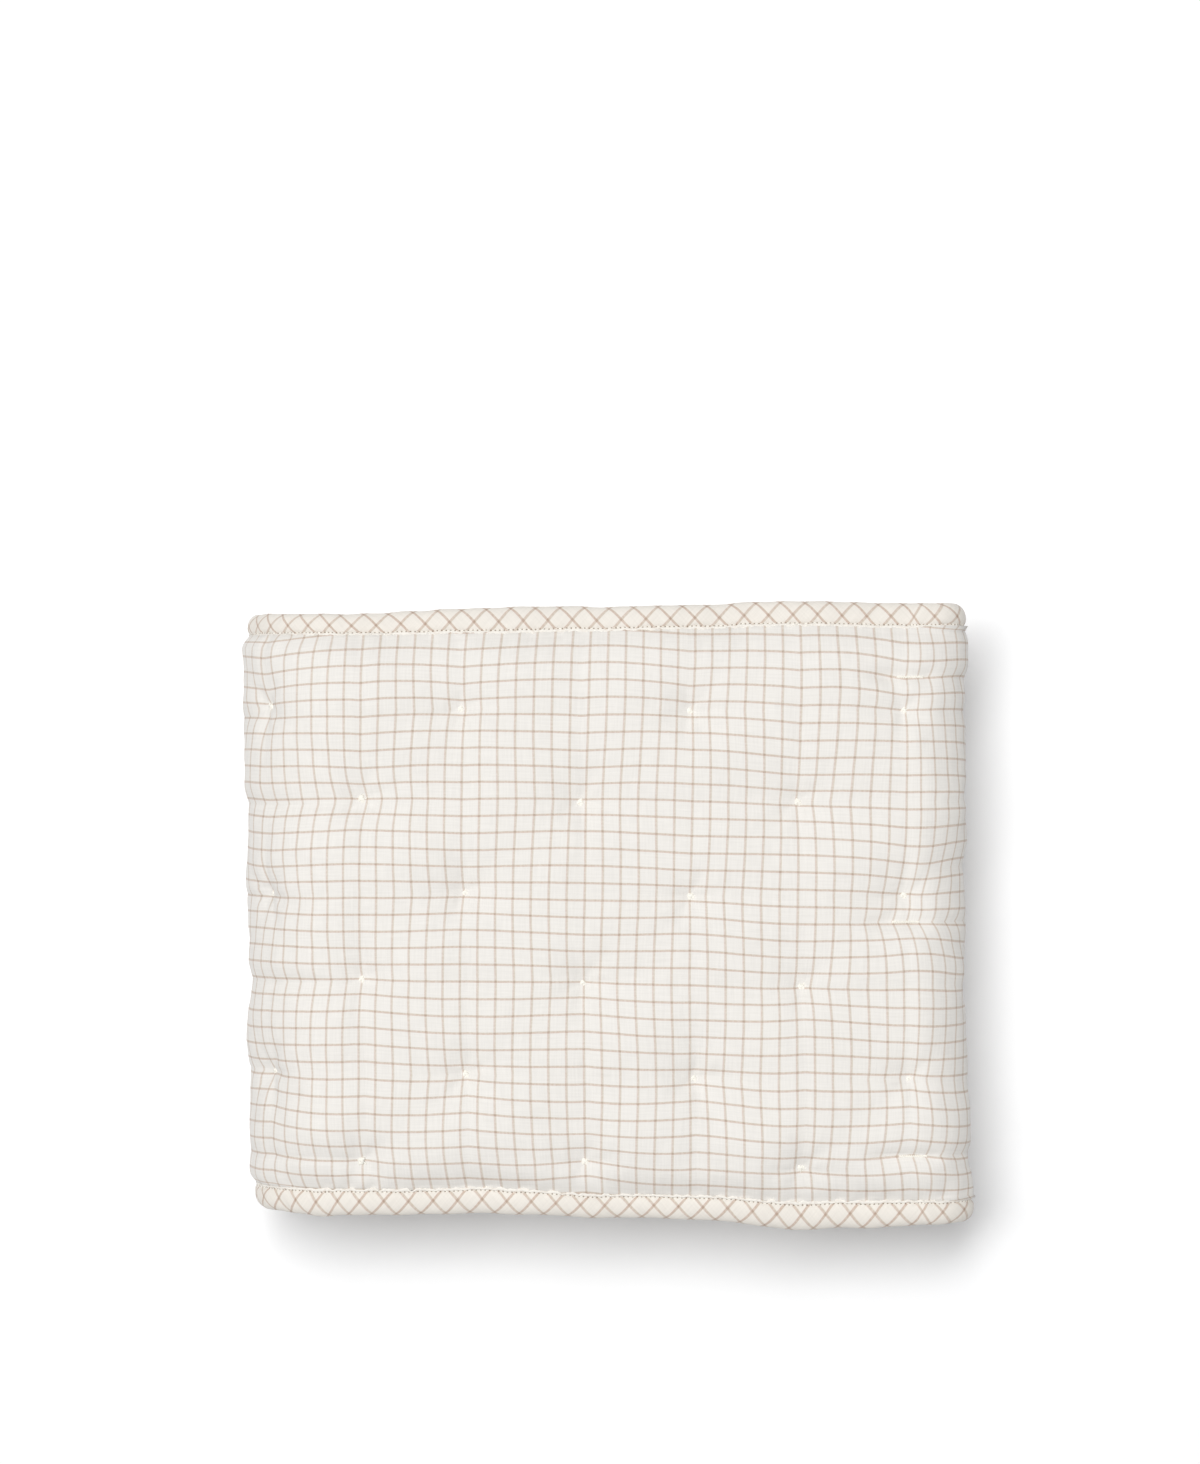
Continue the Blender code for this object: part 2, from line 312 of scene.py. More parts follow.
# The quilt: its loft, and how its cloth is drawn in
quiltMake = {
    "seamHalf": 0.0040,
    "flangeHalf": 0.0010,
    "flangeTip": 0.0033,
    "tuftHalf": 0.0049,
    "seamRise": 0.0070,         # how far from the seam the loft is full at the folds
    "seamRun": 0.0180,          # and on the flat layers
    "steepCloth": 0.0052,       # the cloth that the folds' steep sides take up
    "endRise": 0.026,
    "dimpleReach": 0.0105,
    "dimpleSteepness": 1.15,
    "puckerDepth": 0.00048,
    "puckerReach": 0.0075,
    "puckerFolds": (5, 6, 7),   # puckers round a tuft, by turns
    "puckerTurn": 2.4,
    "columnShare": 0.140,
    "columnHalf": 0.0060,
    "rowHalf": 0.0062,
    "rowSteepness": 1.1,
    "rowShare": {               # cloth length, and how deep the row's valley is there
        "A": ((0.640, 0.10), (0.652, 0.30), (0.720, 0.12), (0.745, 0.38), (0.760, 0.40), (0.772, 0.08),
              (1.074, 0.08), (1.084, 0.22), (1.110, 0.12), (1.187, 0.12), (1.200, 0.10)),
        "B": ((0.690, 0.10), (0.706, 0.20), (0.726, 0.16), (0.760, 0.44), (0.8135, 0.44), (0.828, 0.10),
              (1.105, 0.10), (1.165, 0.10)),
    },
    "seamPucker": (0.00080, 0.0085, 11, 9),     # waves: height, length, seed, how many
    "seamPuckerRise": 0.003,
    "seamPuckerReach": 0.0085,
    "swell": (0.00090, 0.060, 3, 9),
    "crumple": (0.00020, 0.013, 4, 14),
    "foldBulge": 0.0014,
    "foldUneven": (             # across, and how far the tight folds stand out there
        (-0.139, 0.0020), (-0.120, 0.0038), (-0.101, 0.0014), (-0.085, -0.0008), (-0.064, -0.0010),
        (-0.040, -0.0006), (-0.027, -0.0004), (-0.015, -0.0018), (-0.003, -0.0005), (0.009, -0.0014),
        (0.022, -0.0036), (0.034, -0.0004), (0.048, 0.0022), (0.057, 0.0028), (0.070, 0.0012),
        (0.110, 0.0), (0.120, 0.0016), (0.139, 0.0018),
    ),
    "wrapBulge": 0.0010,
    "wrapUneven": (
        (-0.139, 0.0004), (-0.126, 0.0), (-0.108, -0.0016), (-0.094, -0.0014), (-0.077, 0.0020),
        (-0.060, 0.0002), (-0.046, -0.0020), (-0.038, -0.0024), (-0.027, 0.0), (-0.014, -0.0012),
        (-0.003, -0.0004), (0.010, 0.0017), (0.022, -0.0002), (0.037, -0.0020), (0.048, -0.0018),
        (0.062, -0.0004), (0.084, 0.0), (0.099, 0.0018), (0.112, -0.0006), (0.121, -0.0012),
        (0.132, 0.0006), (0.139, 0.0),
    ),
    "shoulder": 0.0038,         # the upper fold is rounder than a half circle
    "upperFrom": 0.05,
    "insideRoom": 0.0022,
    "bow": ((-0.165, -0.0010), (-0.120, -0.0016), (-0.070, -0.0015), (-0.012, -0.0002), (0.040, 0.0006),
            (0.095, 0.0016), (0.146, 0.0028), (0.190, 0.0028)),
    "drift": ((-0.168, 0.0042), (-0.150, 0.0032), (-0.135, 0.0022), (-0.120, 0.0012), (-0.095, 0.0004),
              (-0.070, 0.0), (0.110, 0.0), (0.139, 0.0008), (0.148, 0.0002), (0.155, -0.0014),
              (0.164, -0.0020), (0.172, -0.0026), (0.180, -0.0036), (0.200, -0.0040)),
    "sink": ((-0.168, -0.0016), (-0.150, -0.0010), (-0.125, 0.0)),
    "drawnAlong": ((-0.170, -0.5), (-0.150, 0.0), (-0.110, 1.0), (0.150, 1.0), (0.190, 0.5)),
    "drawnFar": ((0.070, 0.0), (0.104, 0.0012), (0.125, 0.0020), (0.139, 0.0024)),
    "drawnNear": ((0.070, 0.0), (0.105, 0.0011), (0.125, 0.0017), (0.139, 0.0015)),
    "slipV": ((0.0, 0.0), (0.030, 0.0002), (0.080, 0.0008), (0.112, 0.0013), (0.1389, 0.0006)),
    "gather": 0.0012,           # how far the cloth is drawn towards each tuft, and how far from it
    "gatherReach": 0.020,
    "tugs": (                   # where it was also pulled: x, y, the pull along and across, and its reach
        (0.135, 0.115, 0.0032, 0.0, 0.028, 0.028), (0.155, 0.124, 0.0, -0.0025, 0.026, 0.026),
        (0.135, 0.085, 0.0, -0.0010, 0.035, 0.030), (0.145, 0.000, 0.0, -0.0014, 0.022, 0.012),
        (0.020, -0.025, -0.0011, 0.0, 0.090, 0.060), (0.000, 0.128, 0.0010, 0.0, 0.120, 0.040),
        (-0.119, 0.056, 0.0024, 0.0, 0.024, 0.010), (-0.165, 0.010, 0.0026, 0.0, 0.020, 0.012),
        (-0.165, -0.080, 0.0020, 0.0, 0.020, 0.016), (0.005, 0.062, 0.0, 0.0016, 0.055, 0.045),
        (0.095, -0.122, 0.0, 0.0012, 0.040, 0.030), (0.152, -0.125, 0.0, 0.0016, 0.020, 0.020),
        (-0.012, -0.126, 0.0, 0.0030, 0.024, 0.018), (-0.010, -0.030, 0.0, 0.0007, 0.045, 0.040),
        (-0.158, -0.055, 0.0, 0.0012, 0.030, 0.030), (0.130, 0.125, -0.0012, 0.0006, 0.030, 0.020),
        (0.155, -0.060, -0.0010, 0.0, 0.015, 0.050), (-0.070, -0.060, 0.0, -0.0009, 0.035, 0.040),
        (0.155, 0.027, 0.0, -0.0020, 0.018, 0.018), (0.155, 0.007, -0.0025, 0.0, 0.018, 0.018),
        (0.155, -0.022, 0.0, 0.0020, 0.018, 0.018), (0.106, -0.057, 0.0, 0.0014, 0.030, 0.030),
        (-0.005, 0.128, 0.0, 0.0019, 0.035, 0.035), (-0.080, -0.146, 0.0042, 0.0, 0.062, 0.022),
        (-0.060, 0.146, 0.0016, 0.0, 0.090, 0.016),
    ),
    "holdU": 0.028,
    "holdV": 0.0095,
    "columnHold": 0.012,
    "acrossStretch": 1.05,      # cloth width against the width that it covers
    "usualWidth": 0.298,
    "widthShare": 0.55,
    "spacing": {                # step at the tufts, and between them
        "lowerTuck": (0.0068, 0.0090), "lowerTuckTurn": (0.0030, 0.0040),
        "bottom": (0.0042, 0.0066), "bottomTurn": (0.0018, 0.0028),
        "top": (0.0017, 0.0030), "topTurn": (0.0018, 0.0026), "upperTuck": (0.0068, 0.0090),
    },
    "spacingReach": 0.018,
    "acrossSpacing": (0.0017, 0.0031),
    "acrossReach": 0.016,
}


def unevenMarks(low, high, marks, steps, reach):
    # places from low to high, closer together near the marks
    places = [low]
    while places[-1] < high - steps[0] / 2:
        nearest = np.min(np.abs(np.asarray(marks) - places[-1]))
        places.append(places[-1] + steps[0] + (steps[1] - steps[0]) * float(softStep(nearest / reach)))
    places[-1] = high
    return places


def quiltStations():
    found = [0.0]
    for run, low, high in zip(strip, clothMarks, clothMarks[1:]):
        steps = quiltMake["spacing"][run["name"]]
        found += unevenMarks(low, high, columnCloth, steps, quiltMake["spacingReach"])[1:]
    return np.array(found)


def quiltRows():
    exact = [across for across, kind in rowAcross] + [tack[1] for tack in tackPlaces]
    marks = exact + [-seam, seam]
    inside = np.array(unevenMarks(-seam, seam, marks, quiltMake["acrossSpacing"], quiltMake["acrossReach"]))
    for across in exact:        # a row of points lies right on every crease
        inside[np.argmin(np.abs(inside - across))] = across
    tip = pack["halfWidth"] - quiltMake["flangeTip"]
    step = seam + pack["sewingGap"]
    return np.concatenate(([-tip, -step], inside, [step, tip]))


def lipShift(cloth, across):    # how far the bindings' sewn lips lie in from their even line
    far = byColumn(cloth, bindingMake["lipFar"])
    near = byColumn(cloth, bindingMake["lipNear"])
    return np.where(across > 0, far, near)


def nearestTuft(cloth, across):
    # distance to the nearest tuft, its number, and the direction from it
    away = np.hypot(cloth[..., None] - tuftCloth, across[..., None] - tuftAcross)
    number = np.argmin(away, axis=-1)
    angle = np.arctan2(across - tuftAcross[number], cloth - tuftCloth[number])
    return np.min(away, axis=-1), number, angle


def fromColumn(cloth):
    return np.min(np.abs(cloth[..., None] - columnCloth), axis=-1)


def foldShare(cloth):           # 1 at the outermost line of a turn, 0 on the flat layers
    return np.sin(placeAt(alongAt(cloth))["turned"]) ** 2


def grooveAt(cloth, across):
    # 1 along the middle of a bar tack's groove, 0 away from it
    make = tackMake
    groove = np.zeros_like(cloth)
    for start, middle, length, pull in tackPlaces:
        lead = softStep((cloth - start + make["grooveLead"]) / make["grooveLead"])
        past = softStep((cloth - start - length) / make["fadeRun"])
        tail = softStep((start + make["grooveRun"] - cloth) / make["tailRun"])
        near = np.exp(-(np.abs(across - middle) / make["grooveHalf"]) ** make["grooveSteepness"])
        groove = np.maximum(groove, lead * tail * (1 - make["grooveFade"] * past) * near)
    return groove


def rowValley(cloth, across):
    # how deep the valleys between the tufts of one row are
    make = quiltMake
    kept = np.ones_like(cloth)
    for middle, kind in rowAcross:
        near = np.exp(-(np.abs(across - middle) / make["rowHalf"]) ** make["rowSteepness"])
        kept = kept * (1 - readRows(cloth, make["rowShare"][kind]) * near)
    return 1 - kept


def quiltHalf(cloth, across):
    # half the thickness: thin in the binding, drawn in at the seams, the ends, the tufts and the tacks
    make = quiltMake
    toEnd = np.minimum(cloth, clothLength - cloth)
    shown = across + np.sign(across) * lipShift(cloth, across)
    onLayer = 1 - (1 - np.clip((seam - np.abs(shown)) / make["seamRun"], 0.0, 1.0)) ** 2
    fill = onLayer + (seamFill(shown, make["seamRise"]) - onLayer) * foldShare(cloth)
    fill = fill * rounded(toEnd / make["endRise"])
    full = make["seamHalf"] + (pack["outerHalf"] - make["seamHalf"]) * fill
    nearest, number, angle = nearestTuft(cloth, across)
    tuft = np.exp(-((nearest / make["dimpleReach"]) ** make["dimpleSteepness"]))
    column = make["columnShare"] * np.exp(-fromColumn(cloth) / make["columnHalf"])
    groove = tackMake["grooveShare"] * grooveAt(cloth, across)
    kept = (1 - tuft) * (1 - column) * (1 - rowValley(cloth, across)) * (1 - groove)
    low = np.minimum(full, make["tuftHalf"])
    half = low + (full - low) * kept
    folds = np.take(make["puckerFolds"], number % 3)
    reach = nearest / make["puckerReach"]
    pucker = reach * np.exp(1 - reach) * np.cos(angle * folds + number * make["puckerTurn"])
    half = half - make["puckerDepth"] * fill * pucker
    toSeam = seam - np.abs(across)
    gathers = gentleWaves(cloth, np.sign(across) / 2, make["seamPucker"])
    gathers = gathers * rounded(toSeam / make["seamPuckerRise"]) * np.exp(-toSeam / make["seamPuckerReach"])
    half = half + gathers + fill * gentleWaves(cloth, across, make["swell"])
    half = half + fill * gentleWaves(cloth, across, make["crumple"])
    return np.where(np.abs(across) > seam + tiny, make["flangeHalf"], half)


def quiltPoints(cloth, across, isOuter):
    make = quiltMake
    place = placeAt(alongAt(cloth))
    half = quiltHalf(cloth, across)
    room = np.where(place["radius"] > 0, place["radius"] - make["insideRoom"], half)
    inner = -np.minimum(half, room)
    isFold = place["radius"] == pack["foldRadius"]
    bulge = np.where(isFold, make["foldBulge"] + readRows(across, make["foldUneven"]),
                     make["wrapBulge"] + readRows(across, make["wrapUneven"]))
    shoulder = np.where(isFold & (place["z"] > make["upperFrom"]), make["shoulder"], 0.0)
    share = np.maximum(half - make["flangeHalf"], 0) / pack["outerHalf"]
    turned = place["turned"]
    outer = half + share * (bulge * np.sin(turned) - shoulder * np.sin(2 * turned))
    return foldUp(cloth, across, np.where(isOuter, outer, inner), make["seamRise"])


def clothSlip(cloth, across):
    # the folds draw the face outwards, and the tufts and tacks hold it back
    make = quiltMake
    side = np.sign(across)
    free = np.ones_like(cloth)
    for tuftU, tuftV in tufts:
        near = np.exp(-((cloth - tuftU) / make["holdU"]) ** 2 - np.abs(across - tuftV) / make["holdV"])
        free = free * (1 - near)
    for start, middle, length, pull in tackPlaces:
        lead = softStep((cloth - start + tackMake["pullLead"]) / tackMake["pullLead"])
        free = free - (pull + free) * lead * np.exp(-np.abs(across - middle) / make["holdV"])
    slipU = byColumn(cloth, make["bow"]) * free + byColumn(cloth, make["drift"])
    widest = readRows(np.abs(across), make["slipV"]) * (1 - np.exp(-fromColumn(cloth) / make["columnHold"]))
    slipV = side * widest + byColumn(cloth, make["sink"])
    steep = foldShare(cloth) * (1 - seamFill(across, make["seamRise"]))
    slipV = slipV - side * make["steepCloth"] * steep
    drawn = np.where(across > 0, readRows(across, make["drawnFar"]), readRows(-across, make["drawnNear"]))
    slipV = slipV + side * byColumn(cloth, make["drawnAlong"]) * drawn
    for tuftU, tuftV in tufts:
        distance = np.hypot(cloth - tuftU, across - tuftV) + tiny
        share = distance / make["gatherReach"]
        pull = make["gather"] * share * np.exp(1 - share) / distance
        slipU = slipU - pull * (cloth - tuftU)
        slipV = slipV - pull * (across - tuftV)
    for x, y, pullU, pullV, reachU, reachV in make["tugs"]:
        near = np.exp(-((cloth - topMiddle - x) / reachU) ** 2 - ((across - acrossAt(x, y)) / reachV) ** 2)
        slipU = slipU + pullU * near
        slipV = slipV + pullV * near
    return slipU, slipV


def makeGrid(bm, columns, rows):
    # points at whole numbers, one for each station along and across
    size = Vector((columns - 1, rows - 1, 0)) / 2
    matrix = Matrix.Translation(size) @ Matrix.Diagonal((size.x, size.y, 1, 1))
    bmesh.ops.create_grid(bm, x_segments=columns - 1, y_segments=rows - 1, size=1.0, matrix=matrix)


def meshObject(name, bm, sharpAngle=50):
    mesh = bpy.data.meshes.new(name)
    bm.to_mesh(mesh)
    bm.free()
    mesh.shade_smooth()
    mesh.set_sharp_from_angle(angle=math.radians(sharpAngle))
    obj = bpy.data.objects.new(name, mesh)
    bpy.context.scene.collection.objects.link(obj)
    return obj


def makeQuilt():
    stations = quiltStations()
    rows = quiltRows()
    bm = bmesh.new()
    makeGrid(bm, len(stations), len(rows))
    made = bmesh.ops.extrude_face_region(bm, geom=bm.faces[:])
    lifted = [item for item in made["geom"] if isinstance(item, bmesh.types.BMVert)]
    bmesh.ops.translate(bm, verts=lifted, vec=(0, 0, 1))
    bmesh.ops.recalc_face_normals(bm, faces=bm.faces)
    quilt = meshObject("quiltCloth", bm)
    mesh = quilt.data
    flat = np.rint([vert.co for vert in mesh.vertices]).astype(int)
    cloth = stations[flat[:, 0]]
    across = rows[flat[:, 1]]
    points = quiltPoints(cloth, across, flat[:, 2] > 0)
    mesh.vertices.foreach_set("co", points.astype(np.float32).ravel())
    corner = np.empty(len(mesh.loops), np.int32)
    mesh.loops.foreach_get("vertex_index", corner)
    slipU, slipV = clothSlip(cloth, across)
    far, near = edgesAt(alongAt(cloth))
    wider = (far - near) / quiltMake["usualWidth"] - 1
    stretch = quiltMake["acrossStretch"] * (1 + quiltMake["widthShare"] * wider)
    uv = np.stack((cloth - slipU, (across - slipV) * stretch), axis=-1)[corner]     # in metres of cloth
    mesh.uv_layers.new(name="cloth").data.foreach_set("uv", uv.astype(np.float32).ravel())
    mesh.update()
    print("quilt made:", len(mesh.polygons) * 2, "triangles")
    return quilt


# The bindings: a bias strip folded round each long edge
bindingMake = {
    "width": 0.0112,
    "topProfile": (             # how far in from the edge, and the height over the strip's middle
        (0.0112, 0.0040), (0.0110, 0.0046), (0.0106, 0.0048), (0.0101, 0.0046), (0.0097, 0.0041),
        (0.0092, 0.0045), (0.0083, 0.0049), (0.0070, 0.0051), (0.0054, 0.0050), (0.0038, 0.0046),
        (0.0024, 0.0039), (0.0012, 0.0027), (0.0003, 0.0011),
    ),
    "insideProfile": (
        (0.0112, -0.0034), (0.0094, -0.0014), (0.0060, -0.0012), (0.0030, -0.0011), (0.0022, -0.0005),
        (0.0022, 0.0005), (0.0030, 0.0011), (0.0060, 0.0012), (0.0094, 0.0014), (0.0112, 0.0034),
    ),
    "spacing": {
        "lowerTuck": 0.0050, "lowerTuckTurn": 0.0018, "bottom": 0.0036, "bottomTurn": 0.0014,
        "top": 0.0008, "topTurn": 0.0012, "upperTuck": 0.0050,
    },
    "drag": (0.00030, 0.0105, 21, 9),       # waves, as the quilt's; the near side's seeds are one more
    "slow": (0.00030, 0.045, 23, 9),
    "scallop": (0.00050, 0.0045, 25, 9),
    "edgeWave": (0.00022, 0.020, 27, 9),
    "edgeRise": 0.002,
    "bodyRise": 0.004,
    "lipFrom": 0.0094,
    "lipRun": 0.0016,
    "lipFar": ((-0.160, 0.0008), (-0.100, 0.0010), (0.090, 0.0013), (0.150, 0.0014), (0.170, 0.0010)),
    "lipNear": ((-0.140, 0.0006), (-0.090, 0.0009), (-0.065, 0.0014), (-0.020, 0.0006), (0.040, 0.0008),
                (0.090, 0.0012), (0.140, 0.0008), (0.180, 0.0004)),
    "edgeFar": ((-0.170, -0.0004), (-0.130, -0.0010), (-0.075, 0.0006), (-0.040, 0.0014), (0.0, 0.0)),
    "edgeNear": ((-0.175, 0.0016), (-0.150, 0.0030), (-0.110, 0.0020), (-0.060, 0.0014), (0.0, 0.0006),
                 (0.050, 0.0010), (0.090, 0.0020), (0.130, 0.0020), (0.165, 0.0006)),
    "foldPull": 0.0015,         # the binding is drawn in at the tight folds
    "stitchPitch": 0.0022,
    "stitchDip": 0.0006,        # how deep the thread draws the cloth in at each hole
    "dipHalf": 0.0008,
    "dipSharpness": 8,
    "tightness": 0.00030,       # and how far the lip stands out between the holes
    "twist": 0.8,               # how far the drag lines lean, against the length
    "flat": (0.034, 1.44),
}


def bindingProfile():
    top = bindingMake["topProfile"]
    under = tuple((inset, -height) for inset, height in reversed(top))
    return np.array(top + under + bindingMake["insideProfile"])


def facesAround():              # the way round both of a binding's outer faces, from lip to lip
    outside = bindingProfile()[:2 * len(bindingMake["topProfile"])]
    return float(np.sum(np.hypot(*np.diff(outside, axis=0).T)))


def bindingPoints(cloth, inset, height, side):
    # drag lines lean along the bias, and the sewn lip is a little scalloped
    make = bindingMake
    isNear = int(side < 0)
    level = 0 * cloth
    body = softStep((make["width"] - inset) / make["bodyRise"]) * softStep(inset / make["edgeRise"])
    ripple = gentleWaves(cloth + make["twist"] * inset, level, make["drag"], isNear)
    ripple = ripple + gentleWaves(cloth, level, make["slow"], isNear)
    hole = np.cos(math.pi * cloth / make["stitchPitch"]) ** make["dipSharpness"]
    groove = np.exp(-(((inset - threadMake["stitchInset"]) / make["dipHalf"]) ** 2))
    height = height + np.sign(height) * (body * ripple - make["stitchDip"] * hole * groove)
    lip = softStep((inset - make["lipFrom"]) / make["lipRun"])
    inset = inset + lip * (gentleWaves(cloth, level, make["scallop"], isNear) - make["tightness"] * hole)
    inset = inset + (1 - lip) * gentleWaves(cloth, level, make["edgeWave"], isNear)
    share = np.clip(inset / make["width"], 0.0, 1.0)
    edge = byColumn(cloth, make["edgeNear"] if isNear else make["edgeFar"])
    inset = inset - edge * (1 - share) + lipShift(cloth, side) * share
    isFold = placeAt(alongAt(cloth))["radius"] == pack["foldRadius"]
    height = height - np.where(isFold, make["foldPull"] * foldShare(cloth), 0.0)
    return foldUp(cloth, side * (pack["halfWidth"] - inset), height)


def makeBinding(name, side):
    stations = [0.0]
    for run, low, high in zip(strip, clothMarks, clothMarks[1:]):
        count = max(2, round((high - low) / bindingMake["spacing"][run["name"]]))
        stations += list(np.linspace(low, high, count + 1)[1:])
    stations = np.array(stations)
    profile = bindingProfile()
    around = np.concatenate(([0.0], np.cumsum(np.hypot(*np.diff(profile, axis=0).T))))
    around = np.append(around, around[-1] + np.hypot(*(profile[0] - profile[-1])))
    bm = bmesh.new()
    makeGrid(bm, len(stations), len(profile) + 1)
    layer = bm.loops.layers.uv.new("cloth")
    for face in bm.faces:
        for loop in face.loops:
            flat = loop.vert.co
            loop[layer].uv = (stations[round(flat.x)], around[round(flat.y)])
    flat = np.rint([vert.co for vert in bm.verts]).astype(int)
    inset, height = profile[flat[:, 1] % len(profile)].T
    points = bindingPoints(stations[flat[:, 0]], inset, height, side)
    for vert, point in zip(bm.verts, points):
        vert.co = point
    bmesh.ops.remove_doubles(bm, verts=bm.verts, dist=tiny)
    bmesh.ops.holes_fill(bm, edges=bm.edges, sides=0)
    bmesh.ops.recalc_face_normals(bm, faces=bm.faces)
    binding = meshObject(name, bm, 60)
    print(name, "made")
    return binding


# Thread: the knots of the tufts, the bar tacks, and the stitches that hold the bindings
threadMake = {
    "knot": (                   # strands: middle, half length, half width, half height, turn
        ((-0.00070, 0.0002, 0.00010), 0.00230, 0.00108, 0.00064, 1.46),
        ((0.00076, -0.0003, 0.00010), 0.00200, 0.00104, 0.00064, 1.68),
        ((0.0, 0.0003, 0.00045), 0.00145, 0.00092, 0.00044, 0.12),
        ((-0.0013, -0.0015, 0.00005), 0.00140, 0.00044, 0.00032, 0.85),
        ((0.0015, 0.0013, 0.00005), 0.00130, 0.00044, 0.00032, 0.55),
    ),
    "stitch": (((0.0, 0.0, 0.0), 1.0, 1.0, 1.0, 0.0),),
    "knotTurn": 0.5,
    "knotSizes": (0.88, 1.12),
    "stitchLength": 0.0016,
    "stitchRadius": 0.00024,
    "stitchInset": 0.0097,
    "stitchWander": 0.00018,
    "stitchHeight": 0.0043,
    "seed": 5,
}


def strandMesh(name):           # a knot is a few strands pulled tight, with two short ends
    bm = bmesh.new()
    for middle, length, width, height, turn in threadMake[name]:
        matrix = Matrix.Translation(middle) @ Matrix.Rotation(turn, 4, "Z")
        matrix = matrix @ Matrix.Diagonal((length, width, height, 1))
        bmesh.ops.create_uvsphere(bm, u_segments=6, v_segments=4, radius=1.0, matrix=matrix)
    mesh = bpy.data.meshes.new(name)
    bm.to_mesh(mesh)
    bm.free()
    return mesh


def joinCopies(name, shape, places):
    bm = bmesh.new()
    shape = strandMesh(shape)
    for place in places:
        copy = shape.copy()
        copy.transform(place)
        bm.from_mesh(copy)
        bpy.data.meshes.remove(copy)
    return meshObject(name, bm, 80)


def surfaceFrame(quilt, cloth, across, isOuter):
    # the quilt's surface there: a point on its mesh, and the directions along and outwards
    step = 0.0022
    u = cloth + step * np.array([0, 1, -1, 0, 0])
    v = across + step * np.array([0, 0, 0, 1, -1])
    points = quiltPoints(u, v, np.full(len(u), isOuter))
    along = Vector(points[1] - points[2]).normalized()
    side = Vector(points[3] - points[4]).normalized()
    out = along.cross(side) if isOuter else side.cross(along)
    point = quilt.closest_point_on_mesh(Vector(points[0]))[1]
    return point, along, out.normalized()


def standOn(point, along, out):
    along = (along - out * along.dot(out)).normalized()
    side = out.cross(along)
    matrix = Matrix((along, side, out)).transposed().to_4x4()
    return Matrix.Translation(point) @ matrix


def makeKnots(quilt):
    draw = np.random.default_rng(threadMake["seed"])
    places = []
    for cloth, across in tufts:
        for isOuter in (True, False):
            turn = Matrix.Rotation(draw.normal(0, threadMake["knotTurn"]), 4, "Z")
            size = Matrix.Scale(draw.uniform(*threadMake["knotSizes"]), 4)
            places.append(standOn(*surfaceFrame(quilt, cloth, across, isOuter)) @ turn @ size)
    print("knots tied:", len(places))
    return joinCopies("tuftKnots", "knot", places)


def makeTacks(quilt):
    make = tackMake
    draw = np.random.default_rng(threadMake["seed"] + 1)
    places = []
    for start, across, length, pull in tackPlaces:
        count = round(length / make["stitchPitch"])
        for index in range(count):
            cloth = start + length * (index + 0.5) / count
            lean = make["lean"] if index % 2 else -make["lean"]
            lean = lean + draw.uniform(-make["leanSpread"], make["leanSpread"])
            half = make["stitchLength"] / 2 * draw.uniform(*make["lengths"])
            size = Matrix.Diagonal((make["threadRadius"] * make["flatness"], half, make["threadRadius"], 1))
            lift = Matrix.Translation((0, draw.uniform(-make["wander"], make["wander"]), make["lift"]))
            stand = standOn(*surfaceFrame(quilt, cloth, across, True))
            places.append(stand @ lift @ Matrix.Rotation(lean, 4, "Z") @ size)
    print("bar tack stitches sewn:", len(places))
    return joinCopies("barTacks", "stitch", places)


def makeStitches():
    make = threadMake
    draw = np.random.default_rng(make["seed"] + 2)
    count = int(clothLength / bindingMake["stitchPitch"])
    cloth = (np.arange(count) + 0.5) * bindingMake["stitchPitch"]
    reach = make["stitchLength"] / 2
    above = 0.001
    places = []
    for side in (1, -1):
        for face in (1, -1):
            inset = make["stitchInset"] + draw.uniform(-make["stitchWander"], make["stitchWander"], count)
            height = np.full(count, face * make["stitchHeight"])
            firsts = bindingPoints(cloth - reach, inset, height, side)
            lasts = bindingPoints(cloth + reach, inset, height, side)
            highs = bindingPoints(cloth, inset, height + face * above, side)
            for first, last, high in zip(firsts, lasts, highs):
                point = Vector((first + last) / 2)
                along = Vector(last - first)
                size = Matrix.Diagonal((along.length / 2, make["stitchRadius"], make["stitchRadius"], 1))
                places.append(standOn(point, along.normalized(), (Vector(high) - point).normalized()) @ size)
    print("stitches sewn:", len(places))
    return joinCopies("bindingStitches", "stitch", places)


# Finishes
finish = {
    "checkCotton": {
        "ground": (0.806, 0.781, 0.742),
        "along": (0.592, 0.496, 0.420),
        "across": (0.617, 0.540, 0.468),
        "turn": 0.018,          # the cloth is cut a little off its threads
        "shift": (0.0039, -0.0012),
        "creases": 0.22,
    },
    "biasCotton": {
        "ground": (0.806, 0.764, 0.703),
        "along": (0.535, 0.420, 0.345),
        "across": (0.560, 0.468, 0.392),
        "turn": math.pi / 4,
        "shift": (0.0, 0.0),
        "creases": 0.15,
    },
    "checkPitch": 0.00854,
    "lineAlong": {"width": 0.00113, "edge": 0.00022, "share": 0.88},    # its soft edge, and how strong it is
    "lineAcross": {"width": 0.00122, "edge": 0.00026, "share": 0.86},
    "crossing": (0.62, 0.56, 0.52),
    "crossingShare": 0.55,
    "pinkYarn": (1.03, 0.96, 0.97),
    "yellowYarn": (0.99, 1.00, 0.95),
    "yarn": 0.0004,
    "yarnWander": 0.0004,
    "weaveShare": 0.35,
    "slubStretch": ((70.0, 1150.0, 1.0), (1150.0, 70.0, 1.0)),
    "slubTint": (0.955, 1.030),
    "thread": (0.910, 0.885, 0.810),
    "threadTint": (0.90, 1.04),
    "lip": 0.0017,              # how wide the plain lip is, round the binding's profile
    "lipEdge": 0.0003,
    "lipShare": 0.8,
    "lipColour": (0.860, 0.830, 0.775),
    # the needle holes: dots of painted shade, standing in for the shadow inside each hole
    "holeLine": 0.0021,
    "hole": (0.00021, 0.000546),
    "holeShadeShare": 0.85,
    "holeShadeColour": (0.240, 0.175, 0.125),
}


